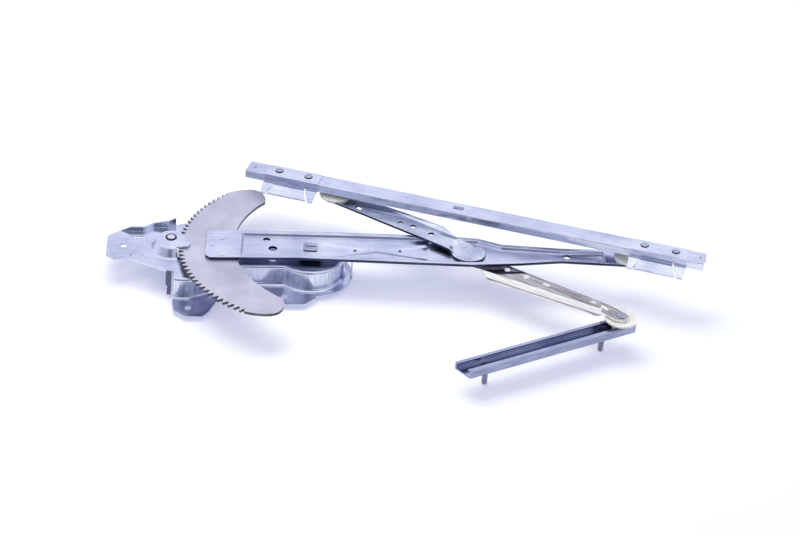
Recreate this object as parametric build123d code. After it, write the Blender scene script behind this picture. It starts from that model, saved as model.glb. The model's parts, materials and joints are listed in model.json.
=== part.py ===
from build123d import *
import os
from math import acos, cos, degrees, hypot, pi, radians, sin, tan

# Window regulator of the scissor kind, without its motor: a toothed sector turns the lift arm,
# an equalizer crosses it at the centre pivot, and rollers carry the lift rail and the guide rail.
# Millimetres and degrees. Every part is drawn about the fixed pivot of the lift arm, with the
# drive pinion on -X, +Z away from the door panel and z = 0 on the panel. The finished parts are
# then moved so that the origin is the foot hole of the base plate.

# ------------------------------------------------------------------ linkage, as it lies at rest
pivot_to_centre = 165.0
centre_to_lift_roller = 170.0
centre_to_guide_roller = 180.0
lift_arm_angle = 2.0
scissor_angle = 34.4
guide_arm_crank = 1.6
guide_rail_angle = 29.3

# ------------------------------------------------------------------ gear pair
tooth_module = 2.25
full_circle_teeth = 120
sector_teeth = 36
pinion_teeth = 9
pressure_angle = 25.0
profile_shift = 0.25
tooth_backlash = 0.16
root_clearance = 0.25
sector_axis_angle = 189.5
sector_sheet = 3.0
sector_waist = 57.0
horn_end_angle = 15.5
horn_end_depth = 33.0
pinion_face = 4.5
pinion_roof_gap = 0.5

# ------------------------------------------------------------------ base plate
base_sheet = 1.8
deck_height = 25.0
dome_radius = 36.0
drum_radius = 39.0
drum_offset = (17.0, -22.0)
hat_left_inset = 8.1
deck_edge_radius = 3.0
wall_foot_bend = 3.2
flange_width = 9.0
flange_corner = 3.0
foot_hole = (-120.0, -78.0)
foot_hole_radius = 3.5
heel_hole = (-23.0, -48.0)
heel_hole_radius = 4.0
ear_hole = (-194.0, -5.0)
ear_hole_radius = 3.5
ear_slots = ((-180.0, 13.0), (-177.5, -22.0))
ear_slot_length = 15.0
ear_slot_width = 4.0
motor_screw_circle = 29.0
motor_screw_radius = 3.2
boss_gap = 0.6
boss_top_radii = (15.2, 17.0)
boss_foot_radii = (20.0, 21.0)
boss_top_offset = (0.3, -2.0)
boss_foot_offset = (0.1, -4.9)
boss_wall_inset = 1.0
boss_bend = 4.0
boss_foot_bend = 3.0
rim_low = 5.0
rim_high = 9.5
rim_bend = 5.0
near_rim = 4.5
leg_fold = -45.0
leg_width = 6.2
leg_gap = 2.6
leg_lean = 9.0
leg_foot_gap = 1.0
leg_notch_height = 10.0
leg_notch = 1.6
end_tab_height = 12.0

# ------------------------------------------------------------------ pivot and pinion bearings
pivot_stack = 5.0
pivot_journal_radius = 6.0
pivot_shoulder_radius = 11.0
pivot_tenon_radius = 3.2
pivot_head_width = 15.0
pivot_head_height = 0.9
bush_wall = 2.0
bush_flange = 1.0
bush_flange_radius = 12.0
bush_length = 6.0
running_gap = 0.05
pinion_journal_radius = 3.9
pinion_bush_wall = 1.8
pinion_bush_proud = 0.8
pinion_shaft_radius = 6.0
pinion_shaft_end = 5.0
pinion_spline_teeth = 12
pinion_spline_depth = 0.7
clip_thickness = 1.2
clip_radius = 10.0

# ------------------------------------------------------------------ lift arm
arm_sheet = 3.0
arm_step = 3.0
arm_ledge = 4.5
arm_tail = 108.0
arm_tip_radius = 14.0
arm_trough_start = 72.0
arm_trough_end = 27.0
trough_slope = 2.0
coin_depth = 1.3
clinch_radius = 3.2
clinch_height = 0.8

# ------------------------------------------------------------------ equalizer
equalizer_sheet = 2.5
equalizer_pass_gap = 0.6
equalizer_half_width = 12.5
equalizer_pad_radius = 18.5
equalizer_pad_bend = 1.2
equalizer_joggle_start = 16.6
equalizer_joggle_end = 20.4
equalizer_flange_rise = 3.4
upper_washer = 0.8
lower_washer = 0.5
washer_radius = 16.0
centre_journal_radius = 10.0
centre_spigot_radius = 7.0
centre_head = 1.4
guide_arm_pad_radius = 17.0
guide_arm_far_edge = 10.3
guide_arm_fold_start = 13.0
guide_arm_fold_end = 1.5
guide_arm_flange_run = 4.2
guide_arm_flange_drop = 4.4
guide_arm_lip = 3.0
guide_arm_tip = 6.5

# ------------------------------------------------------------------ rollers
roller_disc_radius = 17.0
roller_disc = 1.6
roller_rim = 1.0
roller_rim_width = 1.6
roller_hub_radius = 9.0
roller_hub = 0.6
roller_neck_radius = 5.4
roller_head_radius = 8.7
roller_head = 4.5
roller_lip_gap = 0.3
roller_pin_radius = 3.5
roller_pin_head_radius = 5.5
roller_pin_head = 1.5
guide_pin_head = 1.2
flush_head_radius = 5.2
flush_head_depth = 1.6
roller_pin_button_radius = 4.6
roller_pin_button = 1.2
button_gap = 0.4

# ------------------------------------------------------------------ rails
rail_width = 21.4
rail_height = 9.5
rail_sheet = 1.5
rail_lip = 3.0
rail_bend = 1.4
rail_over_lift_roller = 2.9
rail_over_guide_roller = 4.0
lift_rail_left = 99.0
lift_rail_right = 402.6
guide_rail_left = 187.0
guide_rail_right = 12.0
rail_slot_at = 137.0
rail_slot_length = 11.5
rail_slot_width = 6.0
rail_pilot_radius = 2.0
rail_left_pilot = 8.0
rail_right_pilot = 5.5
stud_radius = 3.0
stud_neck = 0.3
stud_length = 19.0
stud_head_radius = 6.0
stud_head = 0.8
stud_inset_left = 29.0
stud_inset_right = 33.0
stud_hole_gap = 0.05
guide_rail_skew = 6.0

# ------------------------------------------------------------------ glass brackets
bracket_length = 60.0
bracket_sheet = 1.2
bracket_ear = 12.5
bracket_ear_tip = 5.0
bracket_slit = 1.6
bracket_lean = 6.0
bracket_ear_taper = 1.5
bracket_web = 2.0
bracket_shelf = 4.6
bracket_ear_shelf = 3.1
bracket_run = 8.0
bracket_drop = 7.0
bracket_ear_run = 10.5
left_bracket_at = -77.0
right_bracket_at = 325.0
bracket_rivet_radius = 2.6
bracket_rivet_head_radius = 4.5
bracket_rivet_head = 0.9
bracket_rivet_inset = 13.2
bracket_rivet_spacing = 33.0

# ------------------------------------------------------------------ worked out from the above
pitch_angle = 360.0 / full_circle_teeth
sector_pitch_radius = tooth_module * full_circle_teeth / 2
pinion_pitch_radius = tooth_module * pinion_teeth / 2
sector_tip_radius = sector_pitch_radius + tooth_module * (1 - profile_shift)
pinion_x = -(sector_pitch_radius + pinion_pitch_radius)
equalizer_angle = lift_arm_angle - scissor_angle
guide_arm_angle = equalizer_angle + guide_arm_crank
lift_rail_angle = lift_arm_angle - scissor_angle / 2
arm_length = pivot_to_centre + centre_to_lift_roller

arm_bottom = deck_height + pivot_stack
arm_trough_top = arm_bottom + arm_sheet
arm_top = arm_trough_top + arm_step
sector_top = arm_top - arm_sheet
sector_bottom = sector_top - sector_sheet
boss_bottom = sector_top + boss_gap
boss_top = boss_bottom + base_sheet
upper_pad_bottom = arm_trough_top + upper_washer
upper_web_bottom = arm_top + equalizer_pass_gap
upper_web_top = upper_web_bottom + equalizer_sheet
guide_web_top = arm_bottom - lower_washer
guide_web_bottom = guide_web_top - equalizer_sheet
roller_disc_height = roller_hub + roller_disc
lift_rail_bottom = upper_web_top + roller_disc_height + rail_over_lift_roller
lift_rail_top = lift_rail_bottom + rail_height
guide_rail_top = guide_web_bottom - roller_disc_height - rail_over_guide_roller
guide_rail_bottom = guide_rail_top - rail_height


def polar(radius, angle):
    return (radius * cos(radians(angle)), radius * sin(radians(angle)))


def along(start, angle, distance):
    dx, dy = polar(distance, angle)
    return (start[0] + dx, start[1] + dy)


centre_point = polar(pivot_to_centre, lift_arm_angle)
right_roller_point = polar(arm_length, lift_arm_angle)
left_roller_point = along(centre_point, equalizer_angle + 180, centre_to_lift_roller)
guide_roller_point = along(centre_point, guide_arm_angle, centre_to_guide_roller)
pinion_point = (pinion_x, 0.0)
drum_point = (pinion_x + drum_offset[0], drum_offset[1])
leg_right = pinion_x + hat_left_inset - leg_gap


# ------------------------------------------------------------------ helpers
def cylinder(radius, bottom, top, at=(0.0, 0.0)):
    return Pos(at[0], at[1], bottom) * extrude(Circle(radius), amount=top - bottom)


def outline(points, corner=0.0):
    """Flat face through the points, with every corner rounded by the same radius."""
    face = make_face(Polyline(*points, close=True))
    return fillet(face.vertices(), corner) if corner else face


def soften(face, hollow, nose):
    """Round the hollow corners of a face, then its outward ones."""
    face = offset(offset(face, hollow, kind=Kind.ARC), -hollow, kind=Kind.ARC)
    return offset(offset(face, -nose, kind=Kind.ARC), nose, kind=Kind.ARC)


def slab(face, bottom, top):
    return Pos(0, 0, bottom) * extrude(face, amount=top - bottom)


def place(solid, at, angle):
    return Pos(at[0], at[1], 0) * Rot(0, 0, angle) * solid


def side_profile(points, half_width):
    """Solid with the given outline in the X-Z plane, spread to both sides of it."""
    face = make_face(Polyline(*[(x, 0, z) for x, z in points], close=True))
    return extrude(face, amount=half_width, dir=(0, 1, 0), both=True)


def cross_profile(points, start, end):
    """Solid with the given outline in the Y-Z plane, run along X."""
    face = make_face(Polyline(*[(start, y, z) for y, z in points], close=True))
    return extrude(face, amount=end - start, dir=(1, 0, 0))


def band(points, thickness, bend=0.0):
    """Flat strip of sheet seen edge on, its thickness to the right of the way through the points."""
    path = FilletPolyline(*points, radius=bend) if bend else Polyline(*points)
    return make_face(offset(path, thickness, kind=Kind.INTERSECTION, side=Side.RIGHT))


def pressed(face, depth, top, run):
    """Sunk area with sloping walls: the face at the top, narrowed by run at the bottom."""
    upper = Pos(0, 0, top) * face
    lower = Pos(0, 0, top - depth) * offset(face, -run, kind=Kind.INTERSECTION)
    return loft([upper, lower])


# ------------------------------------------------------------------ gear teeth
def tooth_flank(teeth, shift, tip_radius, root_radius, steps):
    """(radius, half angle) pairs from root to tip of one involute flank."""
    pitch_radius = tooth_module * teeth / 2
    base_radius = pitch_radius * cos(radians(pressure_angle))
    half = pi / (2 * teeth) + 2 * shift * tan(radians(pressure_angle)) / teeth
    half -= tooth_backlash / 4 / pitch_radius
    involute = tan(radians(pressure_angle)) - radians(pressure_angle)
    start = max(base_radius, root_radius)
    flank = []
    for step in range(steps + 1):
        radius = start + (tip_radius - start) * step / steps
        local = acos(base_radius / radius)
        flank.append((radius, degrees(half + involute - (tan(local) - local))))
    if base_radius > root_radius:
        flank.insert(0, (root_radius, flank[0][1]))
    return flank


def tooth_points(flank, centre_angle):
    rising = [polar(radius, centre_angle - half) for radius, half in flank]
    falling = [polar(radius, centre_angle + half) for radius, half in reversed(flank)]
    return rising + falling


def make_sector_gear():
    root_radius = sector_pitch_radius - tooth_module * (1 + root_clearance + profile_shift)
    flank = tooth_flank(full_circle_teeth, -profile_shift, sector_tip_radius, root_radius, 2)
    points = []
    for index in range(sector_teeth):
        points += tooth_points(flank, (index - (sector_teeth - 1) / 2) * pitch_angle)
    last_angle = sector_teeth * pitch_angle / 2
    shoulder = sector_tip_radius - tooth_module / 3
    end_angle = last_angle + horn_end_angle
    horn = [polar(shoulder, last_angle + 0.4),
            polar(sector_tip_radius - horn_end_depth * 0.14, last_angle + horn_end_angle * 0.5),
            polar(sector_tip_radius - horn_end_depth * 0.42, end_angle - 1.0),
            polar(sector_tip_radius - horn_end_depth * 0.85, end_angle),
            polar(sector_tip_radius - horn_end_depth * 1.15, end_angle - 2.6)]
    mirrored = [(x, -y) for x, y in horn]
    inner_mid = (sector_tip_radius - sector_waist, 0.0)
    edges = Polyline(mirrored[0], *points, horn[0])
    edges += Spline(*horn) + Spline(*mirrored)
    edges += ThreePointArc(horn[-1], inner_mid, mirrored[-1])
    gear = slab(make_face(edges), sector_bottom, sector_top)
    return Rot(0, 0, sector_axis_angle) * gear


def make_drive_pinion():
    tip_radius = pinion_pitch_radius + tooth_module * (1 + profile_shift)
    root_radius = pinion_pitch_radius - tooth_module * (1 + root_clearance - profile_shift)
    flank = tooth_flank(pinion_teeth, profile_shift, tip_radius, root_radius, 5)
    points = []
    for index in range(pinion_teeth):
        points += tooth_points(flank, index * 360.0 / pinion_teeth)
    teeth_top = boss_bottom - pinion_roof_gap
    teeth_bottom = teeth_top - pinion_face
    teeth = slab(outline(points), teeth_bottom, teeth_top)
    # a sector with an even number of teeth has a gap on its axis, an odd one has a tooth there
    lead = sector_axis_angle - 180 + (sector_teeth % 2) * pitch_angle / 2
    lead -= pitch_angle * round(lead / pitch_angle)
    teeth = Rot(0, 0, -lead * full_circle_teeth / pinion_teeth) * teeth
    journal = cylinder(pinion_journal_radius, teeth_top, boss_top + pinion_bush_proud)
    shaft = cylinder(pinion_shaft_radius, pinion_shaft_end, teeth_bottom)
    notch_radius = pi * pinion_shaft_radius / pinion_spline_teeth / 2
    spline_top = (pinion_shaft_end + teeth_bottom) / 2
    for index in range(pinion_spline_teeth):
        at = polar(pinion_shaft_radius + notch_radius - pinion_spline_depth,
                   index * 360.0 / pinion_spline_teeth)
        shaft -= cylinder(notch_radius, pinion_shaft_end - 1, spline_top, at)
    return place(teeth + journal + shaft, pinion_point, 0)


# ------------------------------------------------------------------ base plate
def hat_outline():
    """Plan of the drawn hat: a round drum by the pinion, a waist, and a dome about the pivot."""
    waist = outline([(pinion_x, 35.0), (pinion_x, -40.0), (-100.0, -33.0), (-24.0, -26.5), (0, -26.5), (0, 30.0)])
    drum = Pos(drum_point[0], drum_point[1]) * Circle(drum_radius)
    return soften(Circle(dome_radius) + waist + drum, 8.0, 4.0)


def flange_outline():
    skirt = offset(hat_outline(), flange_width, kind=Kind.ARC)
    left = pinion_x + hat_left_inset
    foot = outline([(left, -58.0), (left, -70.0), (left + 3.0, -85.0), (-130.0, -86.6), (-123.0, -93.5),
                    (-104.5, -91.6), (-99.0, -84.0), (-88.0, -50.0)])
    heel = outline([(-50.0, -30.0), (-36.0, -58.0), (-21.0, -62.0), (-2.0, -60.0), (9.0, -48.0),
                    (9.0, -30.0)], flange_corner)
    return skirt + foot + heel


def ear_outline():
    joint = pinion_x + hat_left_inset + 1.0
    return outline([(-213.0, 12.0), (-200.0, 24.0), (-176.0, 26.0), (-168.0, 34.0), (-151.0, 35.5),
                    (-144.0, 40.0), (-134.0, 44.0), (-128.0, 44.0), (-126.0, 30.0), (joint, 30.0),
                    (joint, -50.0), (leg_right, -46.0), (leg_right - leg_width, -44.0), (-170.0, -33.0),
                    (-188.0, -27.0), (-201.0, -31.0), (-210.0, -25.0)])


def drawn(body, plan, ground, level, bend):
    """Body of that plan raised from the ground, its foot blended into the ground with a bend."""
    rim = (Pos(0, 0, level) * plan).face().outer_wire()
    joined = body + ground
    foot = [edge for edge in joined.edges().filter_by_position(Axis.Z, level, level)
            if rim.distance_to(edge @ 0.5) < bend / 10]
    return fillet(foot, bend)


def make_hat():
    """Flange and raised hat as one drawn sheet, open at the drum's left end."""
    hat = hat_outline()
    outer = slab(hat, 0, deck_height)
    outer = fillet(outer.edges().group_by(Axis.Z)[-1], deck_edge_radius)
    outer = drawn(outer, hat, slab(flange_outline(), 0, base_sheet), base_sheet, wall_foot_bend)
    hollow = offset(hat, -base_sheet, kind=Kind.ARC)
    inner = slab(hollow, -1, deck_height - base_sheet)
    inner = fillet(inner.edges().group_by(Axis.Z)[-1], deck_edge_radius - base_sheet / 2)
    ground = slab(offset(hat, 4 * flange_width), -1, 0)
    inner = drawn(inner, hollow, ground, 0, wall_foot_bend + base_sheet)
    beyond = Pos(pinion_x + hat_left_inset - 100.0, 0) * Rectangle(200.0, 400.0)
    return outer - inner - slab(beyond, -1, deck_height + 1)


def with_boss(ground, inset, level, bend, foot_bend):
    """Ground with the blunt oval cone over the pinion standing on it, drawn in on all sides by inset."""
    foot_at = (pinion_x + boss_foot_offset[0], boss_foot_offset[1])
    top_at = (pinion_x + boss_top_offset[0], boss_top_offset[1])
    foot = Pos(*foot_at) * Ellipse(boss_foot_radii[0] - inset, boss_foot_radii[1] - inset)
    top = Pos(*top_at) * Ellipse(boss_top_radii[0] - inset, boss_top_radii[1] - inset)
    cone = loft([Pos(0, 0, level) * foot, Pos(0, 0, level + boss_top - deck_height) * top])
    cone = fillet(cone.edges().group_by(Axis.Z)[-1], bend)
    return drawn(cone, foot, ground, level, foot_bend)


def make_leg():
    """Narrow leg bent down from the ear beside the open end of the drum, leaning outwards."""
    tip = leg_fold - leg_lean
    side = make_face(Polyline(
        (0, leg_fold, deck_height), (0, leg_fold, deck_height - base_sheet), (0, tip, leg_foot_gap),
        (0, tip - base_sheet, leg_foot_gap), (0, leg_fold - base_sheet, deck_height), close=True))
    leg = Pos(leg_right - leg_width, 0, 0) * extrude(side, amount=leg_width, dir=(1, 0, 0))
    step = Pos(leg_right - leg_width, 0, 0) * Box(2 * leg_notch, 400.0, 2 * leg_notch_height)
    return leg - step


def make_base_plate():
    deck_under = deck_height - base_sheet
    plate = make_hat() + slab(ear_outline(), deck_under, deck_height) + make_leg()

    # raised housing over the pinion, open towards the sector and reaching over its teeth
    plate = with_boss(plate, 0, deck_height, boss_bend, boss_foot_bend)
    around = Pos(pinion_x, 0) * Circle(boss_foot_radii[0] + 2 * boss_foot_bend + base_sheet)
    plate -= with_boss(slab(around, deck_under - 1, deck_under), boss_wall_inset, deck_under,
                       boss_bend - base_sheet, boss_foot_bend + base_sheet)
    plate -= cylinder(sector_tip_radius + 1.5, deck_height, boss_top + 1)
    lip = outline([(pinion_x + 6, 12.0), (pinion_x + 8.5, 11.0), (pinion_x + 13, 3.7), (pinion_x + 21.5, -9.7),
                   (pinion_x + 19, -14.7), (pinion_x + 8.5, -17.5), (pinion_x + 6, -16.8)])
    plate += slab(lip, boss_bottom, boss_top)
    plate -= cylinder(pinion_journal_radius + running_gap + pinion_bush_wall, boss_bottom - 1,
                      boss_top + 1, pinion_point)

    # edges of the ear turned up on the far side and down on the near side, and the flange's end tab
    rim_top = deck_height + rim_low
    far_path = [(-200.0, 24.0), (-176.0, 26.0), (-168.0, 34.0), (-151.0, 35.5), (-144.0, 40.0)]
    heights = side_profile([(-201.0, 0), (-201.0, deck_height), (-190.0, rim_top), (-168.0, rim_top),
                            (-144.0, deck_height + rim_high), (-144.0, 0)], 60)
    plate += slab(band(far_path, base_sheet, rim_bend), deck_under, deck_height + rim_high) & heights
    near_path = [(leg_right - leg_width, -44.0), (-170.0, -33.0), (-188.0, -27.0)]
    plate += slab(band(near_path, base_sheet), deck_height - near_rim, deck_height)
    tab = Pos(dome_radius + flange_width - base_sheet / 2, 4.0) * Rectangle(base_sheet, 20.0)
    plate += slab(tab, 0, end_tab_height)

    # fixing holes and slots, motor screw holes and the seat of the pivot bush
    for at in ear_slots:
        plate -= slab(Pos(*at) * SlotOverall(ear_slot_length, ear_slot_width), deck_under - 1, deck_height + 1)
    plate -= cylinder(foot_hole_radius, -1, base_sheet + 1, foot_hole)
    plate -= cylinder(heel_hole_radius, -1, base_sheet + 1, heel_hole)
    plate -= cylinder(ear_hole_radius, deck_under - 1, deck_height + 1, ear_hole)
    for angle in (-10.0, 80.0):
        plate -= cylinder(motor_screw_radius, deck_under - 1, deck_height + 1,
                          along(drum_point, angle, motor_screw_circle))
    plate -= cylinder(pivot_journal_radius + running_gap + bush_wall, deck_under - 1, deck_height + 1)
    return plate


# ------------------------------------------------------------------ pivot and pinion bearings
def make_pivot_bush():
    bore = pivot_journal_radius + running_gap
    barrel = cylinder(bore + bush_wall, deck_height - bush_length, deck_height)
    collar = cylinder(bush_flange_radius, deck_height, deck_height + bush_flange)
    return barrel + collar - cylinder(bore, deck_height - bush_length - 1, deck_height + bush_flange + 1)


def make_pivot_pin():
    """Shouldered pin, its tenon riveted over the lift arm with a slotted square head."""
    bottom = deck_height - bush_length - clip_thickness - 1.5
    journal = cylinder(pivot_journal_radius, bottom, deck_height + bush_flange)
    groove = cylinder(pivot_journal_radius, bottom + 1.5, bottom + 1.5 + clip_thickness)
    groove -= cylinder(pivot_journal_radius - 1.0, bottom, deck_height)
    shoulder = cylinder(pivot_shoulder_radius, deck_height + bush_flange, arm_bottom)
    head = fillet(Rectangle(pivot_head_width, pivot_head_width).vertices(), 3.0)
    shank = cylinder(pivot_tenon_radius, arm_bottom, arm_trough_top)
    top = slab(head, arm_trough_top, arm_trough_top + pivot_head_height)
    slot = slab(Rectangle(pivot_head_width - 4, 3.0), arm_trough_top + 0.3, arm_top)
    pin = journal - groove + shoulder + Rot(0, 0, lift_arm_angle) * (shank + top - slot)
    return pin


def make_pivot_clip():
    bottom = deck_height - bush_length - clip_thickness
    clip = cylinder(clip_radius, bottom, bottom + clip_thickness)
    clip -= cylinder(pivot_journal_radius - 1.0, bottom - 1, bottom + clip_thickness + 1)
    mouth = Pos(clip_radius, 0, bottom - 1) * extrude(Rectangle(2 * clip_radius, 7.0), amount=clip_thickness + 2)
    return Rot(0, 0, 200) * (clip - mouth)


def make_pinion_bush():
    bore = pinion_journal_radius + running_gap
    top = boss_top + pinion_bush_proud
    ring = cylinder(bore + pinion_bush_wall, boss_bottom, top, pinion_point)
    return ring - cylinder(bore, boss_bottom - 1, top + 1, pinion_point)


# ------------------------------------------------------------------ lift arm
def arm_outline():
    return outline([(-arm_tail, 21.5), (-arm_tail, -26.0), (-arm_tail + 5, -30.5), (-12.0, -25.0),
                    (pivot_to_centre + 3, -25.2), (pivot_to_centre + 52, -19.5),
                    (pivot_to_centre + 97, -arm_tip_radius + 2), (arm_length, -arm_tip_radius),
                    (arm_length, arm_tip_radius), (pivot_to_centre + 97, arm_tip_radius - 2),
                    (pivot_to_centre + 36, 15.0), (pivot_to_centre + 12, 24.5),
                    (pivot_to_centre - 20, 27.0), (40.0, 25.8)])


def trough_outline():
    inset = offset(arm_outline(), -arm_ledge, kind=Kind.INTERSECTION)
    start = -arm_trough_start
    end = arm_length - arm_trough_end
    window = Pos((start + end) / 2, 0) * Rectangle(end - start, 200.0)
    return inset & window


def make_lift_arm():
    tip = Pos(arm_length, 0) * Circle(arm_tip_radius)
    arm = slab(arm_outline() + tip, arm_top - arm_sheet, arm_top)
    trough = pressed(trough_outline(), arm_step, arm_top, trough_slope)
    arm += Pos(0, 0, -arm_sheet) * trough
    arm -= trough

    # coined recess between the fixed pivot and the centre pivot, drawn in at its middle like a bow tie
    upper = outline([(10.5, 12.0), (46.0, 3.2), (69.0, 1.2), (94.0, 5.0), (124.0, 14.5), (126.0, -17.8),
                     (69.0, -6.4), (12.0, -21.0)])
    lower = outline([(13.5, 6.0), (46.0, -1.8), (69.0, 0.0), (94.0, 0.8), (121.0, 10.0), (121.0, -12.1),
                     (69.0, -0.4), (14.0, -18.0)])
    arm -= loft([Pos(0, 0, arm_trough_top - coin_depth) * lower, Pos(0, 0, arm_trough_top) * upper], ruled=True)

    for x, y in ((16.5, 6.0), (6.0, -6.0), (18.0, -23.5)):
        dome = cylinder(clinch_radius, arm_top, arm_top + clinch_height, (x - arm_tail, y))
        arm += chamfer(dome.edges().group_by(Axis.Z)[-1], clinch_height * 0.7)

    holes = ((-46.0, 11.5, 3.6), (-39.0, -5.0, 4.6), (46.4, -1.7, 1.6), (93.4, 0.7, 1.6),
             (pivot_to_centre + 104, 1.0, 4.0))
    for x, y, radius in holes:
        arm -= cylinder(radius, arm_bottom - 2, arm_top + 2, (x, y))
    arm -= cylinder(centre_journal_radius + running_gap, arm_bottom - 1, arm_top, (pivot_to_centre, 0))
    arm -= cylinder(roller_pin_radius, arm_bottom, arm_top + 1, (arm_length, 0))
    arm -= cylinder(pivot_tenon_radius, arm_bottom - 1, arm_top + 1)
    return Rot(0, 0, lift_arm_angle) * arm


# ------------------------------------------------------------------ equalizer, drawn along +X from the centre pivot
def make_upper_equalizer_arm():
    """Round pad over the centre pivot, a conical step up from it, then a straight web."""
    reach = centre_to_lift_roller
    half = equalizer_half_width
    sheet = equalizer_sheet
    plan = outline([(0, half + 2.0), (25.0, half), (reach, half), (reach, -half), (25.0, -half), (0, -half - 2.0)])
    step = Circle(equalizer_joggle_end)
    web = plan + Pos(reach, 0) * Circle(arm_tip_radius) - step
    arm = slab(web, upper_web_bottom, upper_web_top)
    pad = cylinder(equalizer_pad_radius, upper_pad_bottom, upper_pad_bottom + sheet)
    arm += fillet(pad.edges().group_by(Axis.Z)[-1], equalizer_pad_bend)
    cone = make_face(Polyline(
        (equalizer_joggle_start, 0, upper_pad_bottom), (equalizer_joggle_end, 0, upper_web_bottom),
        (equalizer_joggle_end, 0, upper_web_top), (equalizer_joggle_start, 0, upper_pad_bottom + sheet),
        close=True))
    arm += revolve(cone, axis=Axis.Z) & slab(plan, upper_pad_bottom, upper_web_top)

    # flange raised along the edge that faces the lift rail, deepest by the centre pivot
    lean = equalizer_flange_rise
    fold_start = equalizer_joggle_end + 4.0
    fold_foot = equalizer_joggle_end - 5.0
    fold = [(-half + 2.0, upper_web_top), (-half + 2.0, upper_web_bottom), (-half, upper_web_bottom),
            (-half - lean, upper_web_bottom + lean), (-half - lean, upper_web_top + lean)]
    taper = side_profile([(fold_foot, 0), (fold_foot, upper_web_bottom), (fold_start, upper_web_top + lean),
                          (reach - 20, upper_web_bottom + sheet / 2), (reach - 20, 0)], 40)
    arm += cross_profile(fold, fold_foot, reach - 20) & taper

    pad_top = upper_pad_bottom + sheet
    for x, y in ((9.5, -4.5), (-8.5, -9.0), (-5.5, 12.0)):
        dome = cylinder(clinch_radius, pad_top, pad_top + clinch_height, (x, y))
        arm += chamfer(dome.edges().group_by(Axis.Z)[-1], clinch_height * 0.7)
    for x, y, radius in ((46.0, 1.0, 3.2), (69.0, 0.5, 3.6), (84.0, 2.5, 2.6)):
        arm -= cylinder(radius, 0, lift_rail_top, (x, y))
    square = Pos(reach - 35, 5.0) * Rectangle(7.0, 7.0)
    arm -= slab(square, 0, lift_rail_top)
    arm -= cylinder(roller_pin_radius, 0, lift_rail_top, (reach, 0))
    arm -= Pos(reach, 0, 0) * flush_head(upper_web_bottom)
    arm -= cylinder(centre_spigot_radius, 0, lift_rail_top)
    return place(arm, centre_point, equalizer_angle + 180)


def make_lower_equalizer_arm():
    reach = centre_to_guide_roller
    far = guide_arm_far_edge
    flat_end = reach - 20
    near_start = -guide_arm_fold_start
    near_end = -guide_arm_fold_end
    web = outline([(0, guide_arm_pad_radius), (25.0, far + 1.5), (50.0, far), (reach - 18, far - 1.0),
                   (reach + guide_arm_tip, far - 6.0), (reach + guide_arm_tip, -6.5), (reach - 3, -10.0),
                   (flat_end, near_end - 5.0), (flat_end, near_end), (24.0, near_start), (0, -guide_arm_pad_radius)])
    arm = slab(web + Circle(guide_arm_pad_radius), guide_web_bottom, guide_web_top)

    # near flange: a wall that slopes down from the fold and turns out again into a lip
    length = hypot(flat_end - 24.0, guide_arm_fold_start - guide_arm_fold_end)
    turn = degrees(acos((flat_end - 24.0) / length))
    run, drop, lip = guide_arm_flange_run, guide_arm_flange_drop, guide_arm_lip
    top, under = guide_web_top, guide_web_bottom
    fold = [(2.0, top), (0.0, top), (-run, top - drop), (-run - lip, top - drop),
            (-run - lip, top - drop - 1.6), (-run - 1.0, top - drop - 1.6), (-1.2, under), (2.0, under)]
    wall = cross_profile(fold, 0, length)
    nose = outline([(-1, 3.0), (-1, 0.0), (12.0, -run - lip), (length - 8.0, -run - lip), (length, -run), (length, 3.0)])
    wall &= slab(nose, 0, arm_top)
    arm += Pos(24.0, near_start, 0) * Rot(0, 0, turn) * wall

    for x, y, radius in ((46.0, 3.0, 3.2), (68.0, 3.0, 3.8)):
        arm -= cylinder(radius, 0, arm_top, (x, y))
    for x, y, length in ((92.0, 2.5, 9.0), (145.5, 4.0, 7.0)):
        arm -= slab(Pos(x, y) * SlotOverall(length, 4.4), 0, arm_top)
    dent = outline([(reach - 25, 4.5), (reach - 14, 1.5), (reach - 22, -4.5)])
    arm -= pressed(dent, equalizer_sheet / 2, guide_web_top, 1.0)
    arm -= cylinder(roller_pin_radius, 0, arm_top, (reach, 0))
    arm -= cylinder(centre_spigot_radius, 0, arm_top)
    return place(arm, centre_point, guide_arm_angle)


def make_centre_pin():
    """Journal in the lift arm, with a spigot at each end riveted in the halves of the equalizer."""
    journal = cylinder(centre_journal_radius, guide_web_top, upper_pad_bottom)
    upper_spigot = cylinder(centre_spigot_radius, upper_pad_bottom, upper_pad_bottom + equalizer_sheet)
    lower_spigot = cylinder(centre_spigot_radius, guide_web_bottom, guide_web_top)
    head = cylinder(centre_spigot_radius + 2.5, guide_web_bottom - centre_head, guide_web_bottom)
    head = chamfer(head.edges().group_by(Axis.Z)[0], centre_head * 0.6)
    return place(journal + upper_spigot + lower_spigot + head, centre_point, 0)


def make_centre_washer(bottom, top):
    ring = cylinder(washer_radius, bottom, top)
    ring -= cylinder(centre_journal_radius + running_gap, bottom - 1, top + 1)
    return place(ring, centre_point, 0)


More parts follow.
